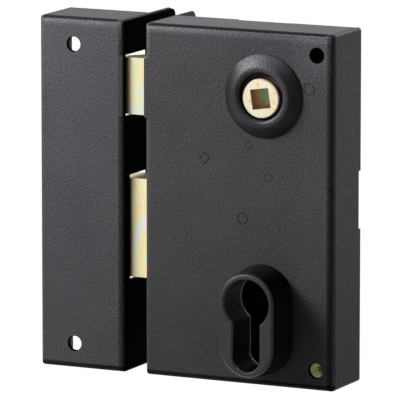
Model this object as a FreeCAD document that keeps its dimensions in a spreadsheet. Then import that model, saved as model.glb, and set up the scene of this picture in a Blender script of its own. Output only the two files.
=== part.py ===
"""Rim lock with a follower and a profile cylinder hole, and its box keep.

The origin is the axis of the follower where it crosses the mounting plane.
X runs from the keep to the far side of the lock, Y runs from the front face
into the door, and Z is up.
"""
import FreeCAD, Part
import os
import re
import Sketcher
from FreeCAD import Placement, Rotation, Vector

doc = FreeCAD.newDocument("rim_lock")

# Driving dimensions, in millimetres and degrees
SIZES = {
    # folded sheet of the case and the keep
    "sheet": 1.5,
    "bend": 2.7,
    "slit": 0.35,
    "flange_round": 3.5,
    # case, from the follower's axis and the mounting plane
    "case_depth": 23.5,
    "case_width": 74.5,
    "case_above": 24.0,
    "case_below": 32.0,
    "backset": 47.0,
    "forend_reach": 16.0,
    "recess_depth": 1.5,
    "recess_height": 21.0,
    "recess_down": 37.9,
    "top_recess_width": 21.5,
    "top_recess_left": 9.8,
    "top_step": 1.0,
    # keep
    "door_gap": 8.0,
    "keep_width": 34.4,
    "keep_taller": 0.4,
    "wing_reach": 18.5,
    "keep_slack": 0.9,
    "keep_bolt_slack": 1.2,
    "keep_opening_back": 3.5,
    # screw holes
    "screw_hole": 2.7,
    "screw_side": 6.5,
    "screw_end": 7.5,
    "keep_screw_side": 14.3,
    "keep_screw_end": 9.3,
    "edge_hole": 2.4,
    "edge_hole_sink": 1.2,
    "forend_hole_in": 8.5,
    "wing_hole_in": 10.0,
    "edge_hole_end": 14.0,
    "cylinder_screw": 2.75,
    "cylinder_screw_front": 11.75,
    "cylinder_screw_drop": 19.2,
    # back plate, its pillars and screws
    "plate": 1.5,
    "plate_slack": 0.2,
    "pillar": 3.5,
    "pillar_in": 9.5,
    "pillar_up": 4.3,
    "pillar_far_in": 11.0,
    "pillar_end": 6.5,
    "pillar_low_in": 13.0,
    "pillar_low_end": 6.5,
    "pillar_bore": 1.9,
    "pillar_bore_deep": 12.0,
    "plate_screw": 1.8,
    "plate_screw_long": 11.0,
    "plate_screw_slack": 0.1,
    "sink": 1.3,
    "spacer": 3.8,
    # follower
    "hub": 7.15,
    "hub_proud": 2.0,
    "hub_fit": 0.08,
    "hub_rear": 6.0,
    "hub_flange": 7.8,
    "hub_flange_thick": 1.0,
    "hub_chamfer": 0.4,
    "end_play": 0.2,
    "spindle": 7.2,
    "spindle_turn": 8.75,
    "swing": 40.0,
    "arm_half": 3.0,
    "arm_long": 19.5,
    "arm_back": 15.3,
    "arm_thick": 3.9,
    # follower collar
    "rose_base": 15.1,
    "rose_edge": 0.5,
    "rose_rim": 10.6,
    "rose_bore": 8.6,
    "rose_proud": 3.3,
    "rose_round": 0.9,
    "rose_lip": 0.6,
    "rose_right": 0.35,
    "rose_up": 0.8,
    "peg": 1.4,
    "peg_long": 2.2,
    "peg_fit": 0.1,
    "rose_peg_circle": 12.0,
    # cylinder hole and its collar
    "cylinder_centres": 72.0,
    "barrel": 8.85,
    "cylinder_leg": 5.3,
    "leg_drop": 19.3,
    "boss_proud": 13.8,
    "boss_base": 11.9,
    "boss_front": 10.5,
    "boss_rise": 0.4,
    "boss_leg_drop": 15.8,
    "boss_round": 1.2,
    "boss_lip": 0.4,
    "boss_peg": 1.1,
    "boss_peg_in": 1.5,
    # latch bolt
    "latch_height": 20.5,
    "latch_rise": 0.6,
    "latch_in": 2.4,
    "latch_thick": 15.0,
    "latch_throw": 12.5,
    "latch_long": 32.5,
    "latch_nose": 1.6,
    "latch_round": 0.6,
    "bolt_slack": 0.3,
    "tab_slack": 0.55,
    "tab_cut": 1.15,
    "tab_round": 0.8,
    "tab_shoulder": 1.3,
    "tongue": 10.0,
    "tongue_top": 8.0,
    "limb": 6.0,
    "latch_tail_top": 11.5,
    "latch_tail_low": 26.0,
    "latch_tail_right": 7.5,
    "latch_tail_left": 40.5,
    "nib_long": 3.0,
    "nib_half": 1.4,
    # tails of both bolts lie in one layer
    "tail_back": 12.0,
    "tail_thick": 3.0,
    "rivet": 1.5,
    "rivet_fit": 0.02,
    "latch_rivet_apart": 8.0,
    "bolt_rivet_apart": 9.0,
    "bolt_rivet_up": 1.5,
    "guide_post": 2.5,
    "slot_slack": 0.3,
    "latch_post_left": 23.0,
    "latch_post_down": 21.5,
    # drive pin and latch spring
    "drive_pin": 2.0,
    "drive_pin_down": 16.5,
    "drive_gap": 0.3,
    "drive_pin_back": 9.0,
    "coil": 3.4,
    "coil_wire": 0.9,
    "spring_down": 18.75,
    "seat_thick": 0.8,
    "seat_nib": 2.2,
    # dead bolt
    "bolt_height": 36.0,
    "bolt_over": 20.7,
    "bolt_in": 5.0,
    "bolt_thick": 13.0,
    "bolt_throw": 20.0,
    "bolt_long": 31.0,
    "bolt_chamfer": 0.8,
    "bolt_tail_over": 12.5,
    "bolt_tail_height": 20.0,
    "bolt_tail_right": 4.5,
    "bolt_post_left": 8.0,
    "bolt_post_under": 6.0,
    "cam_notch_half": 5.5,
    "cam_notch_deep": 5.0,
    "detent_left": 3.5,
    "detent_notch": 0.8,
    "detent_gap": 0.15,
    "bow_half": 10.0,
    "bow_radius": 38.0,
    "bow_thick": 0.6,
    "bow_post": 2.0,
    "bow_post_half": 7.4,
    # lever that lets the cylinder draw the latch
    "lever_back": 9.3,
    "lever_thick": 2.2,
    "lever_pivot_in": 10.5,
    "lever_pivot_under": 14.0,
    "lever_pin": 3.0,
    "lever_shoulder": 4.2,
    "lever_boss": 4.6,
    "lever_half": 3.5,
    "fork_half": 4.8,
    "fork_deep": 8.0,
    "fork_slack": 0.4,
    "fork_over": 3.2,
}

sheet = doc.addObject("Spreadsheet::Sheet", "sizes")
for row, (alias, value) in enumerate(SIZES.items(), start=1):
    sheet.set("A%d" % row, alias.replace("_", " "))
    sheet.set("B%d" % row, str(value))
    sheet.setAlias("B%d" % row, alias)
doc.recompute()

# Levels and edges that several pieces share, as formulas of the sizes
FACE = "(-case_depth)"
INSIDE = "(-case_depth + sheet)"
PLATE_FRONT = "(-plate)"
LEFT = "(-backset)"
RIGHT = "(case_width - backset)"
TOP = "case_above"
BOTTOM = "(-cylinder_centres - case_below)"
KEEP_RIGHT = "(-backset - door_gap)"
KEEP_LEFT = "(-backset - door_gap - keep_width)"
CYLINDER = "(-cylinder_centres)"
TAIL_FRONT = "(-tail_back - tail_thick)"
TAIL_BACK = "(-tail_back)"
LATCH_FRONT = "(-case_depth + latch_in)"
LATCH_BACK = "(-case_depth + latch_in + latch_thick)"
LATCH_LOW = "(latch_rise - latch_height / 2)"
LATCH_HIGH = "(latch_rise + latch_height / 2)"
LATCH_NOSE = "(-backset - latch_throw)"
LATCH_END = "(-backset - latch_throw + latch_long)"
LATCH_TRAVEL = "(2 * drive_pin_down * tan(swing / 2))"
BOLT_FRONT = "(-case_depth + bolt_in)"
BOLT_BACK = "(-case_depth + bolt_in + bolt_thick)"
BOLT_LINE = "(-cylinder_centres + bolt_over)"
BOLT_LOW = "(-cylinder_centres + bolt_over - bolt_height / 2)"
BOLT_HIGH = "(-cylinder_centres + bolt_over + bolt_height / 2)"
TAIL_FLOOR = "(-cylinder_centres + bolt_tail_over)"
TAIL_ROOF = "(-cylinder_centres + bolt_tail_over + bolt_tail_height)"
BOLT_NOSE = "(-backset - bolt_throw)"
BOLT_END = "(-backset - bolt_throw + bolt_long)"
PIVOT_X = "(case_width - backset - lever_pivot_in)"
PIVOT_Z = "(-cylinder_centres - lever_pivot_under)"
PIVOT_DROP = "(cylinder_centres + lever_pivot_under - drive_pin_down)"
PIN_X = ("((arm_half + drive_pin + drive_gap) / cos(swing / 2)"
         " - drive_pin_down * tan(swing / 2))")


def formula(text):
    """Ties each size that the text names to its cell in the sheet."""
    return re.sub(r"[a-z][a-z_]*", lambda word: "sizes." + word.group(0)
                  if word.group(0) in SIZES else word.group(0), str(text))


def number(text):
    """What a formula is worth with the sizes as they stand."""
    value = sheet.evalExpression(formula(text))
    return float(getattr(value, "Value", value))


def new_body(name):
    """A sub-part that is built up from sketches."""
    body = doc.addObject("PartDesign::Body", name)
    body.Label = name
    return body


def new_sketch(body, plane, level, turn="0"):
    """A sketch on one of the body's own planes, at a level along its normal."""
    sketch = body.newObject("Sketcher::SketchObject", body.Name + "_sketch")
    origin_plane = [f for f in body.Origin.OriginFeatures if f.Role == plane + "_Plane"]
    sketch.AttachmentSupport = [(origin_plane[0], "")]
    sketch.MapMode = "FlatFace"
    sketch.AttachmentOffset = Placement(Vector(), Rotation(Vector(0, 0, 1), 0.0))
    sign = "-" if plane == "XZ" else ""
    sketch.setExpression("AttachmentOffset.Base.z", formula(sign + "(" + level + ")"))
    if turn != "0":
        sketch.setExpression("AttachmentOffset.Rotation.Angle", formula(turn))
    return sketch


def tie(sketch, kind, places, text):
    """A dimension of a sketch that follows a formula."""
    index = sketch.addConstraint(Sketcher.Constraint(kind, *places, number(text)))
    sketch.setExpression("Constraints[%d]" % index, formula(text))


def place_point(sketch, edge, end, across, up):
    """Puts one end or the centre of a sketched edge at a place."""
    tie(sketch, "DistanceX", (-1, 1, edge, end), across)
    tie(sketch, "DistanceY", (-1, 1, edge, end), up)


def outline(points):
    """A closed outline of straight edges through (across, up) formulas."""
    def draw(sketch):
        spots = [Vector(number(across), number(up), 0) for across, up in points]
        count = len(points)
        first = sketch.GeometryCount
        for k in range(count):
            sketch.addGeometry(Part.LineSegment(spots[k], spots[(k + 1) % count]), False)
        for k in range(count):
            following = first + (k + 1) % count
            sketch.addConstraint(Sketcher.Constraint("Coincident", first + k, 2, following, 1))
            place_point(sketch, first + k, 1, *points[k])
    return draw


def box(left, right, low, high):
    """A rectangle between two edges across and two up."""
    return outline([(left, low), (right, low), (right, high), (left, high)])


def circles(*spots):
    """Circles, each given as (across, up, radius)."""
    def draw(sketch):
        for across, up, radius in spots:
            centre = Vector(number(across), number(up), 0)
            edge = sketch.addGeometry(Part.Circle(centre, Vector(0, 0, 1), number(radius)), False)
            place_point(sketch, edge, 3, across, up)
            tie(sketch, "Radius", (edge,), radius)
    return draw


def keyhole(across, up, radius, half_leg, drop):
    """A profile cylinder's outline: a barrel and a leg with a round foot."""
    def draw(sketch):
        x, z, r, leg, deep = [number(v) for v in (across, up, radius, half_leg, drop)]
        rise = (r * r - leg * leg) ** 0.5
        start = Vector(x + leg, z - rise, 0)
        end = Vector(x - leg, z - rise, 0)
        barrel = Part.Arc(start, Vector(x, z + r, 0), end)
        foot = Part.Arc(Vector(x - leg, z - deep, 0), Vector(x, z - deep - leg, 0),
                        Vector(x + leg, z - deep, 0))
        a = sketch.addGeometry(barrel, False)
        b = sketch.addGeometry(Part.LineSegment(end, Vector(x - leg, z - deep, 0)), False)
        c = sketch.addGeometry(foot, False)
        d = sketch.addGeometry(Part.LineSegment(Vector(x + leg, z - deep, 0), start), False)
        sketch.addConstraint(Sketcher.Constraint("Coincident", a, 2, b, 1))
        sketch.addConstraint(Sketcher.Constraint("Tangent", b, 2, c, 1))
        sketch.addConstraint(Sketcher.Constraint("Tangent", c, 2, d, 1))
        sketch.addConstraint(Sketcher.Constraint("Coincident", d, 2, a, 1))
        sketch.addConstraint(Sketcher.Constraint("Vertical", b))
        sketch.addConstraint(Sketcher.Constraint("Vertical", d))
        place_point(sketch, a, 3, across, up)
        place_point(sketch, c, 3, across, up + " - (" + drop + ")")
        tie(sketch, "Radius", (a,), radius)
        tie(sketch, "Radius", (c,), half_leg)
    return draw


def capsule(x1, z1, x2, z2, radius):
    """Two half rounds joined by straight sides, upright or lying."""
    def draw(sketch):
        start = Vector(number(x1), number(z1), 0)
        end = Vector(number(x2), number(z2), 0)
        r = number(radius)
        along = (end - start).normalize()
        side = Vector(-along.y, along.x, 0)
        cap = Part.Arc(start + side * r, start - along * r, start - side * r)
        foot = Part.Arc(end - side * r, end + along * r, end + side * r)
        a = sketch.addGeometry(cap, False)
        b = sketch.addGeometry(Part.LineSegment(start - side * r, end - side * r), False)
        c = sketch.addGeometry(foot, False)
        d = sketch.addGeometry(Part.LineSegment(end + side * r, start + side * r), False)
        for one, other in ((a, b), (b, c), (c, d), (d, a)):
            sketch.addConstraint(Sketcher.Constraint("Tangent", one, 2, other, 1))
        place_point(sketch, a, 3, x1, z1)
        place_point(sketch, c, 3, x2, z2)
        tie(sketch, "Radius", (a,), radius)
    return draw


def pad(body, plane, draw, start, end, turn="0"):
    """Adds what a sketch bounds, between two levels along the plane's axis."""
    sketch = new_sketch(body, plane, end if plane == "XZ" else start, turn)
    draw(sketch)
    feature = body.newObject("PartDesign::Pad", body.Name + "_pad")
    feature.Profile = sketch
    feature.setExpression("Length", formula("(" + end + ") - (" + start + ")"))
    doc.recompute()
    return feature


def pocket(body, plane, draw, start, end, turn="0"):
    """Takes away what a sketch bounds, between two levels."""
    before = body.Shape.Volume
    sketch = new_sketch(body, plane, start if plane == "XZ" else end, turn)
    draw(sketch)
    feature = body.newObject("PartDesign::Pocket", body.Name + "_pocket")
    feature.Profile = sketch
    feature.setExpression("Length", formula("(" + end + ") - (" + start + ")"))
    doc.recompute()
    if body.Shape.Volume > before - 1e-6:
        raise RuntimeError(feature.Name + " cuts nothing")
    return feature


def edges_of(feature, wanted):
    """The names of the edges of a feature that a test picks."""
    return ["Edge%d" % (k + 1) for k, edge in enumerate(feature.Shape.Edges) if wanted(edge)]


def faces_of(feature, wanted):
    """The names of the faces of a feature that a test picks."""
    return ["Face%d" % (k + 1) for k, face in enumerate(feature.Shape.Faces) if wanted(face)]


def dress(body, kind, feature, wanted, text):
    """Rounds (Fillet) or bevels (Chamfer) the edges that a test picks."""
    finish = body.newObject("PartDesign::" + kind, body.Name + "_" + kind.lower())
    finish.Base = (feature, edges_of(feature, wanted))
    finish.setExpression("Radius" if kind == "Fillet" else "Size", formula(text))
    doc.recompute()
    return finish


TINY = 1e-3


def near(value, text):
    """Whether a coordinate lies at a formula's place."""
    return abs(value - number(text)) < TINY


def along(edge, axis):
    """Whether an edge is straight and runs along X, Y or Z."""
    if edge.Curve.TypeId != "Part::GeomLine":
        return False
    return abs(getattr(edge.Curve.Direction, axis)) > 1 - TINY


def rim(edge, axis, level, radius):
    """Whether an edge is a circle of a radius at a level along an axis."""
    if edge.Curve.TypeId != "Part::GeomCircle":
        return False
    at_level = near(getattr(edge.Curve.Center, axis), level)
    return at_level and near(edge.Curve.Radius, radius)


def folded_box(body, left, right, top, reach_side, reach):
    """Sheet folded round a face with four flanges, open at the back.

    One side flange, at the level reach_side, runs on past the mounting plane
    by the length reach, with its two corners rounded.
    """
    block = pad(body, "XZ", box(left, right, BOTTOM, top), FACE, "0")
    fold = dress(body, "Fillet", block, lambda e: near(e.BoundBox.YMax, FACE), "bend")
    hollow = body.newObject("PartDesign::Thickness", body.Name + "_wall")
    hollow.Base = (fold, faces_of(fold, lambda f: near(f.BoundBox.YMin, "0")))
    hollow.setExpression("Value", formula("sheet"))
    hollow.Reversed = True
    doc.recompute()
    inner = "%s + sheet" % reach_side if reach_side == LEFT else "%s - sheet" % reach_side
    low, high = (reach_side, inner) if reach_side == LEFT else (inner, reach_side)
    wing = pad(body, "YZ", box("-1", reach, BOTTOM, top), low, high)
    dress(body, "Fillet", wing,
          lambda e: along(e, "x") and near(e.BoundBox.YMin, reach), "flange_round")
    slit_all_corners(body, left, right, top)


def slit_all_corners(body, left, right, top):
    """The open joints where the top and bottom flanges meet the side ones."""
    for low, high in ((left + " + sheet", left + " + sheet + slit"),
                      (right + " - sheet - slit", right + " - sheet")):
        for under, over in ((top + " - sheet - 1", top + " + 1"),
                            (BOTTOM + " - 1", BOTTOM + " + sheet + 1")):
            pocket(body, "XY", box(low, high, FACE + " + bend", "1"), under, over)


# Case: one sheet folded round the works, with the forend as its left flange
case = new_body("case_shell")
folded_box(case, LEFT, RIGHT, TOP, LEFT, "forend_reach")
# the fold is cut away at the latch bolt, which leaves a flat tab of the face
pocket(case, "YZ", box(FACE + " - 1", LATCH_BACK + " + bolt_slack",
                       LATCH_LOW + " - tab_cut", LATCH_HIGH + " + tab_cut"),
       LEFT + " - 1", LEFT + " + bend")
pad(case, "XZ", box(LEFT + " + tab_shoulder", LEFT + " + bend + 1", LATCH_LOW + " - tab_cut",
                    LATCH_HIGH + " + tab_cut"), FACE, INSIDE)
TAB_LOW = LATCH_LOW + " - tab_slack"
TAB_HIGH = LATCH_HIGH + " + tab_slack"
tab = pad(case, "XZ", box(LEFT, LEFT + " + bend + 1", TAB_LOW, TAB_HIGH), FACE, INSIDE)
dress(case, "Fillet", tab,
      lambda e: along(e, "y") and near(e.BoundBox.XMin, LEFT)
      and (near(e.BoundBox.ZMin, TAB_LOW) or near(e.BoundBox.ZMax, TAB_HIGH)), "tab_round")
pocket(case, "YZ", box(BOLT_FRONT + " - bolt_slack", BOLT_BACK + " + bolt_slack",
                       BOLT_LOW + " - bolt_slack", BOLT_HIGH + " + bolt_slack"),
       LEFT + " - 1", LEFT + " + sheet + 1")
SCREW_X = "(case_width - backset - screw_side)"
SCREW_HIGH = "(case_above - screw_end)"
SCREW_LOW = BOTTOM + " + screw_end"
ROSE_PEGS = [("rose_right", "rose_up + rose_peg_circle"),
             ("rose_right - rose_peg_circle * cos(30)", "rose_up - rose_peg_circle / 2"),
             ("rose_right + rose_peg_circle * cos(30)", "rose_up - rose_peg_circle / 2")]
BOSS_PEGS = [("0", CYLINDER + " + boss_rise + boss_base - boss_peg_in"),
             ("0", CYLINDER + " - boss_leg_drop - boss_base + boss_peg_in")]
pocket(case, "XZ", circles(("0", "0", "hub + hub_fit"),
                           (SCREW_X, SCREW_HIGH, "screw_hole"),
                           (SCREW_X, SCREW_LOW, "screw_hole"),
                           *[(x, z, "peg + peg_fit") for x, z in ROSE_PEGS],
                           *[(x, z, "boss_peg + peg_fit") for x, z in BOSS_PEGS]),
       FACE + " - 1", INSIDE + " + 1")
pocket(case, "XZ", keyhole("0", CYLINDER, "barrel", "cylinder_leg", "leg_drop"),
       FACE + " - 1", INSIDE + " + 1")
# shallow recesses in the rear edges of the right, top and bottom flanges
pocket(case, "YZ", box("-recess_depth", "1", "-recess_down - recess_height / 2",
                       "-recess_down + recess_height / 2"), RIGHT + " - sheet - 1", RIGHT + " + 1")
for low, high in ((TOP + " - sheet - 1", TOP + " + 1"), (BOTTOM + " - 1", BOTTOM + " + sheet + 1")):
    pocket(case, "XY", box("-top_recess_left - top_recess_width / 2",
                           "-top_recess_left + top_recess_width / 2",
                           "-recess_depth", "1"), low, high)
pocket(case, "XY", box("-top_recess_left", RIGHT + " - sheet", "-top_step", "1"),
       TOP + " - sheet - 1", TOP + " + 1")
# two screw holes behind the mounting plane, and one for the cylinder's own screw
EDGE_HOLES = [TOP + " - edge_hole_end", BOTTOM + " + edge_hole_end"]
CYLINDER_SCREW = ("-cylinder_screw_front", CYLINDER + " - cylinder_screw_drop", "cylinder_screw")
holes = pocket(case, "YZ", circles(CYLINDER_SCREW,
                                   *[("forend_hole_in", z, "edge_hole") for z in EDGE_HOLES]),
               LEFT + " - 1", LEFT + " + sheet + 1")
dress(case, "Chamfer", holes,
      lambda e: rim(e, "x", LEFT, "edge_hole") or rim(e, "x", LEFT, "cylinder_screw"),
      "edge_hole_sink")

# Back plate: closes the case between its flanges, flush with their edges
PLATE_LEFT = LEFT + " + sheet + plate_slack"
PLATE_RIGHT = RIGHT + " - sheet - plate_slack"
PLATE_LOW = BOTTOM + " + sheet + plate_slack"
PLATE_HIGH = TOP + " - sheet - plate_slack"
PILLARS = [(LEFT + " + pillar_far_in", TOP + " - pillar_end"),
           (RIGHT + " - pillar_in", "pillar_up"),
           (LEFT + " + pillar_low_in", BOTTOM + " + pillar_low_end")]
back_plate = new_body("back_plate")
pad(back_plate, "XZ", box(PLATE_LEFT, PLATE_RIGHT, PLATE_LOW, PLATE_HIGH), PLATE_FRONT, "0")
pocket(back_plate, "XZ", keyhole("0", CYLINDER, "barrel", "cylinder_leg", "leg_drop"),
       PLATE_FRONT + " - 1", "1")
SINK_BORE = "plate_screw + 2 * plate_screw_slack"
holes = pocket(back_plate, "XZ",
               circles(("0", "0", "hub_rear + hub_fit"),
                       (SCREW_X, SCREW_HIGH, "screw_hole"), (SCREW_X, SCREW_LOW, "screw_hole"),
                       *[(x, z, SINK_BORE) for x, z in PILLARS]), PLATE_FRONT + " - 1", "1")
dress(back_plate, "Chamfer", holes, lambda e: rim(e, "y", "0", SINK_BORE), "sink")

# Follower collar: a moulded cone on the face, held by three pegs
rose = new_body("follower_collar")
half = new_sketch(rose, "XY", "0")
outline([("rose_bore", FACE), ("rose_base", FACE), ("rose_base", FACE + " - rose_edge"),
         ("rose_rim", FACE + " - rose_proud"), ("rose_bore", FACE + " - rose_proud")])(half)
turned = rose.newObject("PartDesign::Revolution", "follower_collar_turned")
turned.Profile = half
turned.ReferenceAxis = (half, ["V_Axis"])
turned.Angle = 360.0
doc.recompute()
soft = dress(rose, "Fillet", turned,
             lambda e: rim(e, "y", FACE + " - rose_proud", "rose_rim"), "rose_round")
dress(rose, "Chamfer", soft,
      lambda e: rim(e, "y", FACE + " - rose_proud", "rose_bore"), "rose_lip")
pad(rose, "XZ", circles(*[(x + " - rose_right", z + " - rose_up", "peg") for x, z in ROSE_PEGS]),
    FACE, FACE + " + peg_long")
rose.setExpression("Placement.Base.x", formula("rose_right"))
rose.setExpression("Placement.Base.z", formula("rose_up"))

# Cylinder collar: a tall drafted boss with the cylinder's outline through it
boss = new_body("cylinder_collar")
BOSS_TOP = CYLINDER + " + boss_rise"
BOSS_FOOT = CYLINDER + " - boss_leg_drop"
drafted = pad(boss, "XZ", capsule("0", BOSS_TOP, "0", BOSS_FOOT, "boss_base"),
              FACE + " - boss_proud", FACE)
drafted.setExpression("TaperAngle", formula("-atan((boss_base - boss_front) / boss_proud)"))
doc.recompute()
dress(boss, "Fillet", drafted,
      lambda e: near(e.BoundBox.YMax, FACE + " - boss_proud"), "boss_round")
bored = pocket(boss, "XZ", keyhole("0", CYLINDER, "barrel", "cylinder_leg", "leg_drop"),
               FACE + " - boss_proud - 1", FACE + " + 1")
dress(boss, "Chamfer", bored,
      lambda e: near(e.BoundBox.YMax, FACE + " - boss_proud")
      and e.BoundBox.XMax < number("barrel") + 0.01
      and e.BoundBox.XMin > -number("barrel") - 0.01
      and e.BoundBox.ZMax < number(CYLINDER + " + barrel") + 0.01
      and e.BoundBox.ZMin > number(CYLINDER + " - leg_drop - cylinder_leg") - 0.01,
      "boss_lip")
pad(boss, "XZ", circles(*[(x, z, "boss_peg") for x, z in BOSS_PEGS]), FACE, FACE + " + peg_long")

# Follower: a turned hub with a square hole and one arm that draws the latch
follower = new_body("follower")
pad(follower, "XZ", circles(("0", "0", "hub")), FACE + " - hub_proud", PLATE_FRONT + " - end_play")
pad(follower, "XZ", circles(("0", "0", "hub_flange")), INSIDE + " + end_play",
    INSIDE + " + end_play + hub_flange_thick")
pad(follower, "XZ", circles(("0", "0", "hub_rear")), PLATE_FRONT + " - end_play - 1", "0")
arm = pad(follower, "XZ", box("-arm_half", "arm_half", "-arm_long", "0"),
          "-arm_back - arm_thick", "-arm_back", turn="-swing / 2")
ends = dress(follower, "Fillet", arm,
             lambda e: along(e, "y") and e.BoundBox.Center.Length > number("hub_flange + arm_half"),
             "arm_half / 3")
edge_cut = dress(follower, "Chamfer", ends,
                 lambda e: rim(e, "y", FACE + " - hub_proud", "hub"), "hub_chamfer")
pocket(follower, "XZ", box("-spindle / 2", "spindle / 2", "-spindle / 2", "spindle / 2"),
       FACE + " - hub_proud - 1", "1", turn="spindle_turn")

# Latch bolt: a bevelled head with a mortise, on a riveted tail plate
BEVEL_END = "(-backset - 0.4)"
latch_head = new_body("latch_head")
head = pad(latch_head, "XY", outline([(LATCH_NOSE, LATCH_FRONT), (LATCH_END, LATCH_FRONT),
                                      (LATCH_END, LATCH_BACK), (BEVEL_END, LATCH_BACK),
                                      (LATCH_NOSE, LATCH_FRONT + " + latch_nose")]),
           LATCH_LOW, LATCH_HIGH)
soft_nose = dress(latch_head, "Fillet", head,
                  lambda e: along(e, "z") and near(e.BoundBox.XMin, LATCH_NOSE), "latch_round")
pocket(latch_head, "XZ", box(LATCH_END + " - tongue", LATCH_END + " + 1",
                             LATCH_LOW + " - 1", "tongue_top"), TAIL_FRONT, TAIL_BACK)
LATCH_RIVETS = [(LATCH_END + " - tongue / 2", "latch_rivet_apart / 2"),
                (LATCH_END + " - tongue / 2", "-latch_rivet_apart / 2")]
pocket(latch_head, "XZ", circles(*[(x, z, "rivet + rivet_fit") for x, z in LATCH_RIVETS]),
       LATCH_FRONT + " - 1", LATCH_BACK + " + 1")

latch_tail = new_body("latch_tail")
TAIL_TOP = "(-latch_tail_top)"
TAIL_LOW = "(-latch_tail_low)"
pad(latch_tail, "XZ", outline([("-latch_tail_left", TAIL_LOW), ("latch_tail_right", TAIL_LOW),
                               ("latch_tail_right", "-spring_down - nib_half"),
                               ("latch_tail_right + nib_long", "-spring_down - nib_half"),
                               ("latch_tail_right + nib_long", "-spring_down + nib_half"),
                               ("latch_tail_right", "-spring_down + nib_half"),
                               ("latch_tail_right", TAIL_TOP), (LATCH_END + " + limb", TAIL_TOP),
                               (LATCH_END + " + limb", "tongue_top"),
                               (LATCH_END + " - tongue", "tongue_top"),
                               (LATCH_END + " - tongue", TAIL_TOP), ("-latch_tail_left", TAIL_TOP)]),
    TAIL_FRONT, TAIL_BACK)
pocket(latch_tail, "XZ", capsule("-latch_post_left - " + LATCH_TRAVEL, "-latch_post_down",
                                 "-latch_post_left", "-latch_post_down", "guide_post + slot_slack"),
       TAIL_FRONT + " - 1", TAIL_BACK + " + 1")
pocket(latch_tail, "XZ", circles((PIN_X, "-drive_pin_down", "drive_pin + rivet_fit"),
                                 *[(x, z, "rivet + rivet_fit") for x, z in LATCH_RIVETS]),
       TAIL_FRONT + " - 1", TAIL_BACK + " + 1")

# Dead bolt: a thick head with a mortise, on a tail with the cam's notch
bolt_head = new_body("bolt_head")
slab = pad(bolt_head, "XZ", box(BOLT_NOSE, BOLT_END, BOLT_LOW, BOLT_HIGH), BOLT_FRONT, BOLT_BACK)
dress(bolt_head, "Chamfer", slab,
      lambda e: near(e.BoundBox.XMin, BOLT_NOSE) and near(e.BoundBox.XMax, BOLT_NOSE), "bolt_chamfer")
pocket(bolt_head, "XZ", box(BOLT_END + " - tongue", BOLT_END + " + 1",
                            TAIL_FLOOR, TAIL_ROOF), TAIL_FRONT, TAIL_BACK)
BOLT_RIVETS = [(BOLT_END + " - tongue / 2", BOLT_LINE + " + bolt_rivet_up + bolt_rivet_apart / 2"),
               (BOLT_END + " - tongue / 2", BOLT_LINE + " + bolt_rivet_up - bolt_rivet_apart / 2")]
pocket(bolt_head, "XZ", circles(*[(x, z, "rivet + rivet_fit") for x, z in BOLT_RIVETS]),
       BOLT_FRONT + " - 1", BOLT_BACK + " + 1")

bolt_tail = new_body("bolt_tail")
BOLT_POST_Z = TAIL_ROOF + " - bolt_post_under"
NOTCH = "(-bolt_throw / 2)"
DETENT = "(-detent_left)"
DETENT_IN = "(-detent_left - bolt_throw)"
pad(bolt_tail, "XZ", outline([(BOLT_END + " - tongue", TAIL_FLOOR),
                              (NOTCH + " - cam_notch_half", TAIL_FLOOR),
                              (NOTCH + " - cam_notch_half", TAIL_FLOOR + " + cam_notch_deep"),
                              (NOTCH + " + cam_notch_half", TAIL_FLOOR + " + cam_notch_deep"),
                              (NOTCH + " + cam_notch_half", TAIL_FLOOR),
                              ("bolt_tail_right", TAIL_FLOOR), ("bolt_tail_right", TAIL_ROOF),
                              (DETENT + " + 2 * detent_notch", TAIL_ROOF),
                              (DETENT, TAIL_ROOF + " - detent_notch"),
                              (DETENT + " - 2 * detent_notch", TAIL_ROOF),
                              (DETENT_IN + " + 2 * detent_notch", TAIL_ROOF),
                              (DETENT_IN, TAIL_ROOF + " - detent_notch"),
                              (DETENT_IN + " - 2 * detent_notch", TAIL_ROOF),
                              (BOLT_END + " - tongue", TAIL_ROOF)]), TAIL_FRONT, TAIL_BACK)
pocket(bolt_tail, "XZ", capsule("-bolt_post_left - bolt_throw", BOLT_POST_Z,
                                "-bolt_post_left", BOLT_POST_Z, "guide_post + slot_slack"),
       TAIL_FRONT + " - 1", TAIL_BACK + " + 1")
pocket(bolt_tail, "XZ", circles(*[(x, z, "rivet + rivet_fit") for x, z in BOLT_RIVETS]),
       TAIL_FRONT + " - 1", TAIL_BACK + " + 1")

# Lever: pivots low in the case, so the cylinder's cam can draw the latch too
lever = new_body("key_lever")
LEVER_LONG = ("sqrt(pow(" + PIVOT_X + " - " + PIN_X
              + "; 2) + pow(" + PIVOT_DROP + "; 2))")
LEVER_LEAN = "atan((" + PIVOT_X + " - " + PIN_X + ") / " + PIVOT_DROP + ")"
LEVER_FRONT = "-lever_back - lever_thick"
LEVER_SHORT = ("sqrt(pow(" + PIVOT_X + " - " + PIN_X + " - " + LATCH_TRAVEL
               + "; 2) + pow(" + PIVOT_DROP + "; 2))")
FORK_FLOOR = LEVER_SHORT + " - drive_pin - fork_slack"
pad(lever, "XZ", outline([("-lever_half", "0"), ("lever_half", "0"),
                          ("lever_half", LEVER_LONG + " - fork_deep - 2 * lever_half"),
                          ("fork_half", LEVER_LONG + " - fork_deep"),
                          ("fork_half", LEVER_LONG + " + fork_over"),
                          ("drive_pin + fork_slack", LEVER_LONG + " + fork_over"),
                          ("drive_pin + fork_slack", FORK_FLOOR),
                          ("-drive_pin - fork_slack", FORK_FLOOR),
                          ("-drive_pin - fork_slack", LEVER_LONG + " + fork_over"),
                          ("-fork_half", LEVER_LONG + " + fork_over"),
                          ("-fork_half", LEVER_LONG + " - fork_deep"),
                          ("-lever_half", LEVER_LONG + " - fork_deep - 2 * lever_half")]),
    LEVER_FRONT, "-lever_back")
pad(lever, "XZ", circles(("0", "0", "lever_boss")), LEVER_FRONT, "-lever_back")
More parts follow.
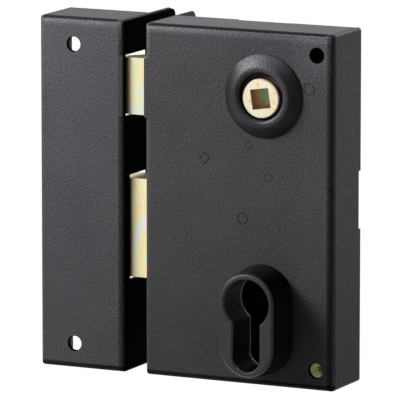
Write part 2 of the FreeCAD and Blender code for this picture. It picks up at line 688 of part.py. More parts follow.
pocket(lever, "XZ", circles(("0", "0", "lever_pin + hub_fit")), LEVER_FRONT + " - 1", "-lever_back + 1")
lever.Placement = Placement(Vector(), Rotation(Vector(0, -1, 0), 1.0))
lever.setExpression("Placement.Base.x", formula(PIVOT_X))
lever.setExpression("Placement.Base.z", formula(PIVOT_Z))
lever.setExpression("Placement.Rotation.Angle", formula(LEVER_LEAN))

# Bow spring: a strip that bears on two posts and presses on the bolt's tail
bow = new_body("detent_spring")
BOW_LOW = "(" + TAIL_ROOF + " + detent_gap)"


def bow_strip(sketch):
    """A strip bent to a shallow bow, as two concentric arcs and two ends."""
    middle = -number("detent_left")
    low = number(BOW_LOW)
    radius = number("bow_radius")
    thick = number("bow_thick")
    half = number("bow_half")
    centre = low + radius
    rings = []
    for r in (radius, radius - thick):
        rise = centre - (r * r - half * half) ** 0.5
        rings.append((Vector(middle - half, rise, 0), Vector(middle, centre - r, 0),
                      Vector(middle + half, rise, 0)))
    under, upper = rings
    a = sketch.addGeometry(Part.Arc(*under), False)
    b = sketch.addGeometry(Part.LineSegment(under[2], upper[2]), False)
    c = sketch.addGeometry(Part.Arc(*upper), False)
    d = sketch.addGeometry(Part.LineSegment(upper[0], under[0]), False)
    for one, end, other, start in ((a, 2, b, 1), (b, 2, c, 2), (c, 1, d, 1), (d, 2, a, 1)):
        sketch.addConstraint(Sketcher.Constraint("Coincident", one, end, other, start))
    sketch.addConstraint(Sketcher.Constraint("Vertical", b))
    sketch.addConstraint(Sketcher.Constraint("Vertical", d))
    for arc, text in ((a, "bow_radius"), (c, "bow_radius - bow_thick")):
        place_point(sketch, arc, 3, "-detent_left", BOW_LOW + " + bow_radius")
        tie(sketch, "Radius", (arc,), text)
    tie(sketch, "DistanceX", (-1, 1, a, 1), "-detent_left - bow_half")
    tie(sketch, "DistanceX", (-1, 1, a, 2), "-detent_left + bow_half")


pad(bow, "XZ", bow_strip, TAIL_FRONT, TAIL_BACK)

# Keep: one sheet folded like the case, open at the back, with a wing
keep = new_body("keep_shell")
folded_box(keep, KEEP_LEFT, KEEP_RIGHT, TOP + " + keep_taller", KEEP_RIGHT, "wing_reach")
pocket(keep, "YZ", box(FACE + " - 1", "-keep_opening_back",
                       LATCH_LOW + " - keep_slack", LATCH_HIGH + " + keep_slack"),
       KEEP_RIGHT + " - bend", KEEP_RIGHT + " + 1")
pad(keep, "XZ", box(KEEP_RIGHT + " - bend - 1", KEEP_RIGHT, LATCH_LOW + " - keep_slack",
                    LATCH_HIGH + " + keep_slack"), FACE, INSIDE)
pocket(keep, "YZ", box(BOLT_FRONT + " - bolt_slack", "-keep_opening_back",
                       BOLT_LOW + " - keep_bolt_slack", BOLT_HIGH + " + keep_bolt_slack"),
       KEEP_RIGHT + " - sheet - 1", KEEP_RIGHT + " + 1")
KEEP_SCREW_X = "(-backset - door_gap - keep_width + keep_screw_side)"
KEEP_SCREW_HIGH = "(case_above - keep_screw_end)"
KEEP_SCREW_LOW = BOTTOM + " + keep_screw_end"
pocket(keep, "XZ", circles((KEEP_SCREW_X, KEEP_SCREW_HIGH, "screw_hole"),
                           (KEEP_SCREW_X, KEEP_SCREW_LOW, "screw_hole")), FACE + " - 1", INSIDE + " + 1")
holes = pocket(keep, "YZ", circles(*[("wing_hole_in", z, "edge_hole") for z in EDGE_HOLES]),
               KEEP_RIGHT + " - sheet - 1", KEEP_RIGHT + " + 1")
dress(keep, "Chamfer", holes, lambda e: rim(e, "x", KEEP_RIGHT, "edge_hole"), "edge_hole_sink")


def bar(name, x, z, front, back, radius, end_radius=None):
    """A round bar along Y between two levels, or a cone if it ends wider."""
    kind = "Part::Cylinder" if end_radius is None else "Part::Cone"
    rod = doc.addObject(kind, name)
    rod.Placement = Placement(Vector(), Rotation(Vector(1, 0, 0), -90))
    rod.setExpression("Placement.Base.x", formula(x))
    rod.setExpression("Placement.Base.y", formula(front))
    rod.setExpression("Placement.Base.z", formula(z))
    rod.setExpression("Height", formula("(" + back + ") - (" + front + ")"))
    if end_radius is None:
        rod.setExpression("Radius", formula(radius))
    else:
        rod.setExpression("Radius1", formula(radius))
        rod.setExpression("Radius2", formula(end_radius))
    return rod


def cut(name, base, tool):
    """What is left of one solid after another is taken away."""
    result = doc.addObject("Part::Cut", name)
    result.Base = base
    result.Tool = tool
    return result


def fuse(name, *solids):
    """Several solids made one."""
    result = doc.addObject("Part::MultiFuse", name)
    result.Shapes = list(solids)
    return result


def group(name, solids):
    """Like pieces that stay separate solids under one name."""
    result = doc.addObject("Part::Compound", name)
    result.Label = name
    result.Links = list(solids)
    return result


# Rivets and pin of the two bolts
latch_rivets = group("latch_rivets", [bar("latch_rivet", x, z, LATCH_FRONT, LATCH_BACK, "rivet")
                                      for x, z in LATCH_RIVETS])
bolt_rivets = group("bolt_rivets", [bar("bolt_rivet", x, z, BOLT_FRONT, BOLT_BACK, "rivet")
                                    for x, z in BOLT_RIVETS])
drive_pin = bar("latch_drive_pin", PIN_X, "-drive_pin_down",
                "-arm_back - arm_thick", "-drive_pin_back", "drive_pin")

# Posts that stand between the face and the back plate
latch_post = bar("latch_guide_post", "-latch_post_left", "-latch_post_down",
                 INSIDE, PLATE_FRONT, "guide_post")
bolt_post = bar("bolt_guide_post", "-bolt_post_left", BOLT_POST_Z,
                INSIDE, PLATE_FRONT, "guide_post")
BOW_TOP = (BOW_LOW + " + bow_radius"
           " - sqrt(pow(bow_radius - bow_thick; 2) - pow(bow_post_half; 2))")
detent_posts = group("detent_posts", [
    bar("detent_post", "-detent_left" + side, BOW_TOP + " + bow_post + slot_slack / 2",
        INSIDE, TAIL_BACK, "bow_post") for side in (" - bow_post_half", " + bow_post_half")])
lever_pivot = fuse("lever_pivot",
                   bar("lever_pivot_pin", PIVOT_X, PIVOT_Z, INSIDE, PLATE_FRONT, "lever_pin"),
                   bar("lever_pivot_shoulder", PIVOT_X, PIVOT_Z, INSIDE,
                       LEVER_FRONT + " - end_play", "lever_shoulder"))
pillars = group("plate_pillars", [
    cut("plate_pillar", bar("pillar_body", x, z, INSIDE, PLATE_FRONT, "pillar"),
        bar("pillar_thread", x, z, PLATE_FRONT + " - pillar_bore_deep", "0", "pillar_bore"))
    for x, z in PILLARS])
plate_screws = group("plate_screws", [
    fuse("plate_screw", bar("screw_shank", x, z, "-plate_screw_long", "-sink", "plate_screw"),
         bar("screw_head", x, z, "-sink - 0.1", "0", "plate_screw",
             "plate_screw + sink + plate_screw_slack")) for x, z in PILLARS])


def screw_spacer(name, z):
    """A tube behind a screw hole, so that the screw can't crush the case."""
    return cut(name, bar(name + "_body", SCREW_X, z, INSIDE, PLATE_FRONT, "spacer"),
               bar(name + "_bore", SCREW_X, z, INSIDE + " - 1", "0", "screw_hole"))


upper_spacer = screw_spacer("upper_screw_spacer", SCREW_HIGH)
lower_spacer = screw_spacer("lower_screw_spacer", SCREW_LOW)


def bar_across(name, z, start, end, radius):
    """A round bar along X at the height of the latch spring."""
    rod = doc.addObject("Part::Cylinder", name)
    rod.Placement = Placement(Vector(), Rotation(Vector(0, 1, 0), 90))
    rod.setExpression("Placement.Base.x", formula(start))
    rod.setExpression("Placement.Base.y", formula("-tail_back - tail_thick / 2"))
    rod.setExpression("Placement.Base.z", formula(z))
    rod.setExpression("Height", formula("(" + end + ") - (" + start + ")"))
    rod.setExpression("Radius", formula(radius))
    return rod


# Latch spring between the tail's nib and a seat on the right flange
WALL = "(case_width - backset - sheet)"
spring_seat = fuse("spring_seat",
                   bar_across("seat_disc", "-spring_down", WALL + " - seat_thick", WALL, "coil"),
                   bar_across("seat_nib", "-spring_down", WALL + " - seat_thick - seat_nib",
                              WALL, "nib_half"))
latch_spring = cut("latch_spring",
                   bar_across("spring_outside", "-spring_down", "latch_tail_right",
                              WALL + " - seat_thick", "coil"),
                   bar_across("spring_inside", "-spring_down", "latch_tail_right - 1",
                              WALL, "coil - coil_wire"))

NODES = [case, back_plate, rose, boss, follower, latch_head, latch_tail, latch_rivets, drive_pin,
         latch_post, latch_spring, spring_seat, bolt_head, bolt_tail, bolt_rivets, bolt_post,
         bow, detent_posts, lever, lever_pivot, pillars, plate_screws, upper_spacer,
         lower_spacer, keep]

doc.recompute()
for item in doc.Objects:
    if "Invalid" in item.State or "Error" in item.State:
        raise RuntimeError(item.Name + " failed: " + str(item.State))
os.makedirs("parts", exist_ok=True)
for node in NODES:
    shape = node.Shape
    if shape.isNull() or not shape.isValid():
        raise RuntimeError(node.Label + " has no valid shape")
    shape.exportStep("parts/" + node.Label + ".step")
    extent = shape.BoundBox
    print("%-20s %2d solids %10.1f mm3  X %7.2f %7.2f  Y %7.2f %7.2f  Z %7.2f %7.2f" % (
        node.Label, len(shape.Solids), shape.Volume, extent.XMin, extent.XMax,
        extent.YMin, extent.YMax, extent.ZMin, extent.ZMax))
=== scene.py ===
"""Looks of a rim lock and its box keep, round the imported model.

Metres. X runs from the keep to the far side of the lock, Y into the door,
Z up. The origin is the follower's axis on the mounting plane.
"""
import bmesh
import bpy
import math
from mathutils import Matrix, Vector


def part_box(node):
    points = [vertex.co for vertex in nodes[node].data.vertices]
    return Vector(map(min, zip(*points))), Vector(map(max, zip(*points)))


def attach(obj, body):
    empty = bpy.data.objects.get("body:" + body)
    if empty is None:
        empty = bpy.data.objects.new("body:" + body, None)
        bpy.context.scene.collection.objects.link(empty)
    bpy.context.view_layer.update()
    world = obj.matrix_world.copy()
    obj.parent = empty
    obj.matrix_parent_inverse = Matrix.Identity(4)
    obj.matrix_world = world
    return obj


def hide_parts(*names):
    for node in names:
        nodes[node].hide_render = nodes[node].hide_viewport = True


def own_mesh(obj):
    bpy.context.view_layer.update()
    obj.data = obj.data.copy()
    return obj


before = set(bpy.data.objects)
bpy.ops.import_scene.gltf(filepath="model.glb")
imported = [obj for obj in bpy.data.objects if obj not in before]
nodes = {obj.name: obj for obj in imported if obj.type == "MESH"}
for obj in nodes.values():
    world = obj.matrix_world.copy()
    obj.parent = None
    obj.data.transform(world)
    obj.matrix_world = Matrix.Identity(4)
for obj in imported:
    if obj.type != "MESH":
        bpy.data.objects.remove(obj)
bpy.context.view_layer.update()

# Camera: a long lens some two metres off, to the right of the lock's front
# and a little above it, aimed between the follower and the dead bolt.
camera_place = Vector((0.8518, -1.8246, 0.3010))
camera_aim = Vector((-0.03043, -0.01170, -0.04060))
camera = bpy.data.objects.new("camera", bpy.data.cameras.new("camera"))
camera.data.lens = 512.5
camera.data.sensor_width = 36.0
camera.data.clip_start = 0.05
camera.data.clip_end = 100.0
camera.location = camera_place
camera.rotation_euler = (camera_aim - camera_place).to_track_quat("-Z", "Y").to_euler()
bpy.context.scene.collection.objects.link(camera)
bpy.context.scene.camera = camera
bpy.context.scene.view_settings.view_transform = "Standard"

# Studio: a pale floor well below the lock, a soft lamp close by on the upper
# left and a larger one behind and above. The white all round is the world's
# colour to the camera and to reflections, not light on the lock.
world = bpy.data.worlds.new("studio")
bpy.context.scene.world = world
world.use_nodes = True
air = world.node_tree
air.nodes.clear()
rays = air.nodes.new("ShaderNodeLightPath")
seen = air.nodes.new("ShaderNodeMath")
seen.operation = "MAXIMUM"
shown = air.nodes.new("ShaderNodeMath")
shown.operation = "MAXIMUM"
soft_air = air.nodes.new("ShaderNodeBackground")
soft_air.inputs["Color"].default_value = (0.92, 0.94, 1.0, 1.0)
soft_air.inputs["Strength"].default_value = 0.03
white_air = air.nodes.new("ShaderNodeBackground")
white_air.inputs["Color"].default_value = (1.0, 1.0, 1.0, 1.0)
white_air.inputs["Strength"].default_value = 1.0
either_air = air.nodes.new("ShaderNodeMixShader")
world_out = air.nodes.new("ShaderNodeOutputWorld")
air.links.new(rays.outputs["Is Camera Ray"], seen.inputs[0])
air.links.new(rays.outputs["Is Glossy Ray"], seen.inputs[1])
air.links.new(seen.outputs[0], shown.inputs[0])
air.links.new(rays.outputs["Is Transmission Ray"], shown.inputs[1])
air.links.new(shown.outputs[0], either_air.inputs["Fac"])
air.links.new(soft_air.outputs[0], either_air.inputs[1])
air.links.new(white_air.outputs[0], either_air.inputs[2])
air.links.new(either_air.outputs[0], world_out.inputs["Surface"])


def studio_lamp(name, place, aim, width, height, power, tint):
    """A rectangular soft lamp that faces a point."""
    lamp = bpy.data.objects.new(name, bpy.data.lights.new(name, "AREA"))
    lamp.data.shape = "RECTANGLE"
    lamp.data.size = width
    lamp.data.size_y = height
    lamp.data.energy = power
    lamp.data.color = tint
    lamp.location = place
    lamp.rotation_euler = (Vector(aim) - Vector(place)).to_track_quat("-Z", "Y").to_euler()
    bpy.context.scene.collection.objects.link(lamp)


lock_middle = (-0.03, -0.01, -0.04)
studio_lamp("key_lamp", (-0.345, -0.265, 0.235), lock_middle, 0.21, 0.19, 4.5, (1.0, 0.985, 1.0))
studio_lamp("back_lamp", (0.25, 0.80, 0.45), lock_middle, 0.60, 0.40, 4.0, (1.0, 1.0, 1.0))

FLOOR_DROP = 0.45
FLOOR_REACH = 8.0
floor_mesh = bmesh.new()
bmesh.ops.create_grid(floor_mesh, x_segments=1, y_segments=1, size=FLOOR_REACH,
                      matrix=Matrix.Translation((0.0, 0.0, -FLOOR_DROP)))
floor = bpy.data.objects.new("floor", bpy.data.meshes.new("floor"))
floor_mesh.to_mesh(floor.data)
floor_mesh.free()
bpy.context.scene.collection.objects.link(floor)
floor_paint = bpy.data.materials.new("floor_paper")
floor_paint.use_nodes = True
paper = floor_paint.node_tree
paper_shader = paper.nodes["Principled BSDF"]
paper_shader.inputs["Base Color"].default_value = (0.86, 0.86, 0.86, 1.0)
paper_shader.inputs["Roughness"].default_value = 0.9
paper_rays = paper.nodes.new("ShaderNodeLightPath")
paper_seen = paper.nodes.new("ShaderNodeMath")
paper_seen.operation = "MAXIMUM"
paper_glow = paper.nodes.new("ShaderNodeMath")
paper_glow.operation = "MULTIPLY"
paper_glow.inputs[1].default_value = 0.95
paper.links.new(paper_rays.outputs["Is Camera Ray"], paper_seen.inputs[0])
paper.links.new(paper_rays.outputs["Is Glossy Ray"], paper_seen.inputs[1])
paper.links.new(paper_seen.outputs[0], paper_glow.inputs[0])
paper_shader.inputs["Emission Color"].default_value = (1.0, 1.0, 1.0, 1.0)
paper.links.new(paper_glow.outputs[0], paper_shader.inputs["Emission Strength"])
floor.data.materials.append(floor_paint)


# Case: sheet steel 1.5 mm thick, folded round the works and open behind.
# Its left flange runs on past the door's face as the forend. It is powder
# coated black after folding.
def finish_with(name):
    """A new finish: its material, node tree and shader."""
    finish = bpy.data.materials.new(name)
    finish.use_nodes = True
    return finish, finish.node_tree, finish.node_tree.nodes["Principled BSDF"]


def grain(tree, scale, detail, stretch=(1.0, 1.0, 1.0)):
    """Noise laid on the piece in its own space; gives the noise node."""
    place = tree.nodes.new("ShaderNodeTexCoord")
    mapping = tree.nodes.new("ShaderNodeMapping")
    mapping.inputs["Scale"].default_value = stretch
    noise = tree.nodes.new("ShaderNodeTexNoise")
    noise.inputs["Scale"].default_value = scale
    noise.inputs["Detail"].default_value = detail
    tree.links.new(place.outputs["Object"], mapping.inputs["Vector"])
    tree.links.new(mapping.outputs["Vector"], noise.inputs["Vector"])
    return noise


def shades(tree, source, stops):
    """A ramp of colours along a value; stops are (place, colour)."""
    ramp = tree.nodes.new("ShaderNodeValToRGB")
    ramp.color_ramp.elements[0].position = stops[0][0]
    ramp.color_ramp.elements[0].color = (*stops[0][1], 1.0)
    ramp.color_ramp.elements[1].position = stops[-1][0]
    ramp.color_ramp.elements[1].color = (*stops[-1][1], 1.0)
    for place, colour in stops[1:-1]:
        ramp.color_ramp.elements.new(place).color = (*colour, 1.0)
    tree.links.new(source, ramp.inputs["Fac"])
    return ramp.outputs["Color"]


def relief(tree, shader, source, strength, height):
    """Bumps the surface by a value; height is in metres."""
    bump = tree.nodes.new("ShaderNodeBump")
    bump.inputs["Strength"].default_value = strength
    bump.inputs["Distance"].default_value = height
    tree.links.new(source, bump.inputs["Height"])
    tree.links.new(bump.outputs["Normal"], shader.inputs["Normal"])


def span(tree, source, low, high):
    """A value between 0 and 1 spread over another range."""
    between = tree.nodes.new("ShaderNodeMapRange")
    between.inputs["To Min"].default_value = low
    between.inputs["To Max"].default_value = high
    tree.links.new(source, between.inputs["Value"])
    return between.outputs["Result"]


def blended(tree, amount, first, second, kind="MIX"):
    """Two colours mixed or multiplied as far as an amount says."""
    mix = tree.nodes.new("ShaderNodeMix")
    mix.data_type = "RGBA"
    mix.blend_type = kind
    for socket, given in ((mix.inputs[0], amount), (mix.inputs[6], first),
                          (mix.inputs[7], second)):
        if isinstance(given, bpy.types.NodeSocket):
            tree.links.new(given, socket)
        else:
            socket.default_value = given
    return mix.outputs[2]


def stepped(tree, value, start, end, low=0.0, high=1.0):
    """A smooth step of a value between two places."""
    step = tree.nodes.new("ShaderNodeMapRange")
    step.interpolation_type = "SMOOTHSTEP"
    step.inputs["From Min"].default_value = start
    step.inputs["From Max"].default_value = end
    step.inputs["To Min"].default_value = low
    step.inputs["To Max"].default_value = high
    tree.links.new(value, step.inputs["Value"])
    return step.outputs["Result"]


def along(tree, axis, start, end, low=0.0, high=1.0):
    """A smooth step along one of the piece's own axes."""
    place = tree.nodes.new("ShaderNodeTexCoord")
    parts = tree.nodes.new("ShaderNodeSeparateXYZ")
    tree.links.new(place.outputs["Object"], parts.inputs["Vector"])
    return stepped(tree, parts.outputs[axis], start, end, low, high)


def about(tree, right, up, start, end):
    """A smooth step of the distance from an axis that runs along Y."""
    place = tree.nodes.new("ShaderNodeTexCoord")
    flat = tree.nodes.new("ShaderNodeMapping")
    flat.inputs["Location"].default_value = (-right, 0.0, -up)
    flat.inputs["Scale"].default_value = (1.0, 0.0, 1.0)
    reach = tree.nodes.new("ShaderNodeVectorMath")
    reach.operation = "LENGTH"
    tree.links.new(place.outputs["Object"], flat.inputs["Vector"])
    tree.links.new(flat.outputs["Vector"], reach.inputs[0])
    return stepped(tree, reach.outputs["Value"], start, end)


def joined(tree, operation, first, *others):
    """Several amounts multiplied, or the greatest of them."""
    for other in others:
        both = tree.nodes.new("ShaderNodeMath")
        both.operation = operation
        tree.links.new(first, both.inputs[0])
        tree.links.new(other, both.inputs[1])
        first = both.outputs[0]
    return first


def toned(finish, tone, *steps, gloss=1.0):
    """Multiplies a finish's colour by a tone, and its gloss too, where smooth
    steps overlap. A step is an axis with its start and end, or an amount."""
    tree = finish.node_tree
    shader = tree.nodes["Principled BSDF"]
    base, level = shader.inputs["Base Color"], shader.inputs["Specular IOR Level"]
    tint = tone if isinstance(tone, tuple) else (tone, tone, tone)
    amount = joined(tree, "MULTIPLY", *[along(tree, *step) if isinstance(step, tuple) else step
                                        for step in steps])
    tree.links.new(blended(tree, amount, base.links[0].from_socket, (*tint, 1.0), "MULTIPLY"),
                   base)
    if gloss == 1.0:
        return
    if level.is_linked:
        before = level.links[0].from_socket
        tree.links.new(joined(tree, "MULTIPLY", before, span(tree, amount, 1.0, gloss)), level)
    else:
        tree.links.new(span(tree, amount, level.default_value, gloss * level.default_value),
                       level)


def powder_coat(name, dark, light):
    """Fine-textured black powder coat on folded sheet steel."""
    finish, tree, shader = finish_with(name)
    cloud = grain(tree, 45.0, 4.0)
    colour = shades(tree, cloud.outputs["Fac"], [(0.35, dark), (0.7, light)])
    fleck = grain(tree, 2300.0, 2.0)
    flecks = shades(tree, fleck.outputs["Fac"], [(0.34, (0.60, 0.60, 0.60)),
                                                 (0.50, (0.95, 0.95, 0.95)),
                                                 (0.66, (1.55, 1.55, 1.55))])
    tree.links.new(blended(tree, 1.0, colour, flecks, "MULTIPLY"), shader.inputs["Base Color"])
    pebble = grain(tree, 1500.0, 3.0)
    relief(tree, shader, pebble.outputs["Fac"], 1.0, 0.00027)
    tree.links.new(span(tree, pebble.outputs["Fac"], 0.36, 0.50), shader.inputs["Roughness"])
    shader.inputs["Specular IOR Level"].default_value = 0.09
    return finish


# the folds' outer radius, and the radii between which painted shade darkens a hole's edge
BEND = 0.0027
HOLE_EDGE, HOLE_RIM = 0.0028, 0.0031


def folded(finish, node, holes, brow, upper, waist, top):
    """Paints light and shade onto a coat on folded sheet: painted shade on the
    crest and the foot of its bends and on the edges of its screw holes, a
    painted highlight as a light brow under the top bend, and painted light on
    the face's upper and middle part and a painted tone of light on the top flange."""
    low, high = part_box(node)
    front = low.y
    face = ("Y", front + 0.34 * BEND, front + 0.22 * BEND)
    toned(finish, (0.36, 0.34, 0.36), ("Y", front + 0.22 * BEND, front + 0.34 * BEND),
          ("Y", front + 1.02 * BEND, front + 0.94 * BEND),
          ("Z", high.z - 0.60 * BEND, high.z - 0.46 * BEND),
          ("X", low.x + 0.40 * BEND, low.x + 0.80 * BEND),
          ("X", high.x - 1.0 * BEND, high.x - 1.35 * BEND), gloss=0.2)
    toned(finish, upper, ("Z", high.z - 0.080, high.z), face)
    toned(finish, (brow, 0.985 * brow, 1.02 * brow),
          ("Z", high.z - 1.5 * BEND, high.z - 0.5 * BEND), face)
    toned(finish, waist, face, ("Z", high.z - 0.030, high.z - 0.060),
          ("Z", low.z + 0.026, low.z + 0.046))
    toned(finish, top, ("Z", high.z - 0.00016, high.z - 0.00006),
          ("Y", front + 0.9 * BEND, front + 1.1 * BEND), gloss=top)
    toned(finish, 0.20, ("Z", low.z + 1.0 * BEND, low.z + 0.66 * BEND),
          ("Y", front + 1.2 * BEND, front + 0.9 * BEND), gloss=0.2)
    for right, up in holes:
        toned(finish, 0.12, about(finish.node_tree, right, up, HOLE_RIM, HOLE_EDGE), gloss=0.0)


def new_piece(name, made, body, node=None, finish=None):
    """Turns a finished bmesh into a piece that rides on a body."""
    piece = bpy.data.objects.new(name, bpy.data.meshes.new(name))
    made.to_mesh(piece.data)
    made.free()
    bpy.context.scene.collection.objects.link(piece)
    piece.data.shade_smooth()
    piece.data.materials.append(finish)
    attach(piece, body)
    if node:
        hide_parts(node)
    return piece


CORNER_ROUND = 0.0013
CORNER_CUTS = (0, 9, 18, 27, 36)


def eased(node):
    """A copy of a folded shell, the outer corners of its flanges rounded: it
    is cut near each corner, and the square corner is drawn in to a disc."""
    made = bmesh.new()
    made.from_mesh(nodes[node].data)
    bmesh.ops.remove_doubles(made, verts=made.verts[:], dist=1e-6)
    low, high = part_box(node)
    for side, inward in ((low, 1), (high, -1)):
        for axis in (0, 2):
            for lean in CORNER_CUTS:
                cut, across = Vector(), Vector()
                cut[axis] = side[axis] + inward * CORNER_ROUND * (1 - math.tan(math.radians(lean)))
                across[axis] = 1.0
                bmesh.ops.bisect_plane(made, geom=made.verts[:] + made.edges[:] + made.faces[:],
                                       dist=1e-7, plane_co=cut, plane_no=across)
    for vert in made.verts:
        for side_x, inward_x in ((low.x, 1), (high.x, -1)):
            for side_z, inward_z in ((low.z, 1), (high.z, -1)):
                out_x = CORNER_ROUND - inward_x * (vert.co.x - side_x)
                out_z = CORNER_ROUND - inward_z * (vert.co.z - side_z)
                if out_x > 0 and out_z > 0:
                    pull = max(out_x, out_z) / math.hypot(out_x, out_z)
                    vert.co.x = side_x + inward_x * (CORNER_ROUND - out_x * pull)
                    vert.co.z = side_z + inward_z * (CORNER_ROUND - out_z * pull)
    bmesh.ops.remove_doubles(made, verts=made.verts[:], dist=1e-7)
    return made


def crisp(piece, angle):
    """Keeps a piece's edges beyond an angle sharp and its flat faces flat."""
    piece.data.set_sharp_from_angle(angle=math.radians(angle))
    piece.modifiers.new("flat_faces", "WEIGHTED_NORMAL").keep_sharp = True


FOLD_ANGLE = 35
case_coat = powder_coat("case_powder_coat", (0.040, 0.0385, 0.042), (0.047, 0.0455, 0.049))
case_low, case_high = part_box("case_shell")
face_front = case_low.y
hole_axes = [sum(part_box(node), Vector()) / 2
             for node in ("upper_screw_spacer", "lower_screw_spacer")]
folded(case_coat, "case_shell", [(axis.x, axis.z) for axis in hole_axes],
       brow=1.86, upper=1.22, waist=1.12, top=1.16)
case_face = ("Y", face_front + 0.34 * BEND, face_front + 0.22 * BEND)
# painted shade on the right bend, a painted highlight on its outer edge, and painted shade low on
# the wall beyond it
toned(case_coat, (0.52, 0.50, 0.52), ("X", case_high.x - 1.12 * BEND, case_high.x - 0.70 * BEND),
      ("X", case_high.x - 0.18 * BEND, case_high.x - 0.34 * BEND),
      ("Y", face_front + 0.9 * BEND, face_front + 0.7 * BEND), gloss=0.3)
toned(case_coat, 1.45, ("X", case_high.x - 0.28 * BEND, case_high.x - 0.14 * BEND),
      ("Y", face_front + 1.05 * BEND, face_front + 0.85 * BEND))
toned(case_coat, 0.66, ("X", case_high.x - 0.14 * BEND, case_high.x - 0.02 * BEND),
      ("Z", -0.010, case_low.z), gloss=0.5)
# painted light on the face's upper right and on its right, and painted shade on its lower part
toned(case_coat, (1.34, 1.32, 1.36), case_face, ("X", 0.008, 0.020), ("Z", 0.006, 0.016))
toned(case_coat, 1.13, case_face, ("X", 0.006, 0.020), ("Z", -0.085, -0.045))
toned(case_coat, 0.90, case_face, ("Z", -0.062, -0.085))
crisp(new_piece("folded_case", eased("case_shell"), "case", "case_shell",
                case_coat), FOLD_ANGLE)


# Marks of the welded posts: where their feet press on the face from inside,
# the coat rises in a fine welt round each foot, its near-black colour a painted shade.
def closed(made):
    """Joins the doubles of a finished shape and turns its faces outwards."""
    bmesh.ops.remove_doubles(made, verts=made.verts[:], dist=1e-7)
    bmesh.ops.recalc_face_normals(made, faces=made.faces[:])
    return made


def spun(made, profile, right, up, steps):
    """Spins a closed profile of (radius, depth) about an axis along Y."""
    rims = [made.verts.new((right + radius, depth, up)) for radius, depth in profile]
    edges = [made.edges.new(pair) for pair in zip(rims, rims[1:] + rims[:1])]
    bmesh.ops.spin(made, geom=rims + edges, cent=(right, 0.0, up), axis=(0, 1, 0),
                   angle=2 * math.pi, steps=steps, use_merge=True, use_duplicate=False)


# each foot: right, up, radius, half its welt's width, number of sides
FEET = ((-0.0229, -0.0229, 0.0018, 0.00023, 4),
        (0.0180, 0.0043, 0.0019, 0.00021, 8),
        (-0.0079, -0.0438, 0.0017, 0.00018, 24),
        (-0.0056, -0.0174, 0.0015, 0.00015, 4),
        (0.0022, -0.0282, 0.0014, 0.00013, 24))
welt_shade_coat = powder_coat("welt_shade_coat", (0.006, 0.006, 0.0065), (0.010, 0.010, 0.0105))
marks = bmesh.new()
for right, up, reach, welt, sides in FEET:
    spun(marks, [(reach, face_front + welt), (reach + 0.5 * welt, face_front - 0.5 * welt),
                 (reach + 1.5 * welt, face_front - 0.5 * welt),
                 (reach + 2 * welt, face_front + welt)], right, up, sides)
new_piece("foot_marks", closed(marks), "case", finish=welt_shade_coat)


# Posts, pillars and pivots: turned steel, welded by one end to the inside of
# the case's face. They carry the bolts, the lever and the back plate.
def turned_steel(name, colour, rough):
    """Bright steel bar, turned, with the fine rings of the tool."""
    finish, tree, shader = finish_with(name)
    shader.inputs["Base Color"].default_value = (*colour, 1.0)
    shader.inputs["Metallic"].default_value = 1.0
    rings = grain(tree, 900.0, 2.0, (0.15, 6.0, 0.15))
    relief(tree, shader, rings.outputs["Fac"], 0.25, 0.00003)
    tree.links.new(span(tree, rings.outputs["Fac"], rough, rough + 0.18),
                   shader.inputs["Roughness"])
    return finish


def dress(finish, *names):
    """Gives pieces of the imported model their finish."""
    for name in names:
        nodes[name].data.materials.clear()
        nodes[name].data.materials.append(finish)


post_steel = turned_steel("post_steel", (0.56, 0.55, 0.53), 0.28)
dress(post_steel, "latch_guide_post", "bolt_guide_post", "detent_posts", "lever_pivot",
      "plate_pillars")

# Upper screw spacer: a steel tube that stands behind the face's upper screw
# hole, given a near-black coat without gloss as painted shade, so that the
# hole looks black.
tube_shade_black = powder_coat("tube_shade_black", (0.002, 0.002, 0.002), (0.003, 0.003, 0.003))
tube_shade_black.node_tree.nodes["Principled BSDF"].inputs["Specular IOR Level"].default_value = 0.0
dress(tube_shade_black, "upper_screw_spacer")


# Follower: a turned and broached steel hub with one arm, zinc plated and
# passivated yellow. It turns in the case's face and in the back plate.
def yellow_zinc(name, stops, drift, rough):
    """Zinc plate with a yellow passivate that shimmers pink, green and blue."""
    finish, tree, shader = finish_with(name)
    patch = grain(tree, drift, 2.5, (1.0, 1.0, 0.5))
    shimmer = shades(tree, patch.outputs["Fac"], stops)
    calm = grain(tree, 0.4 * drift, 2.0)
    ground = stops[len(stops) // 2][1]
    tree.links.new(blended(tree, span(tree, calm.outputs["Fac"], 0.55, 1.25), (*ground, 1.0),
                           shimmer), shader.inputs["Base Color"])
    shader.inputs["Metallic"].default_value = 1.0
    brushed = grain(tree, 1500.0, 3.0, (1.0, 1.0, 0.08))
    relief(tree, shader, brushed.outputs["Fac"], 0.2, 0.00004)
    tree.links.new(span(tree, brushed.outputs["Fac"], rough, rough + 0.2),
                   shader.inputs["Roughness"])
    return finish


follower_zinc = yellow_zinc("follower_zinc",
                            [(0.33, (0.52, 0.36, 0.22)), (0.40, (0.62, 0.58, 0.28)),
                             (0.46, (0.63, 0.57, 0.46)), (0.52, (0.63, 0.50, 0.40)),
                             (0.57, (0.55, 0.59, 0.32)), (0.64, (0.63, 0.54, 0.50))],
                            760.0, 0.36)
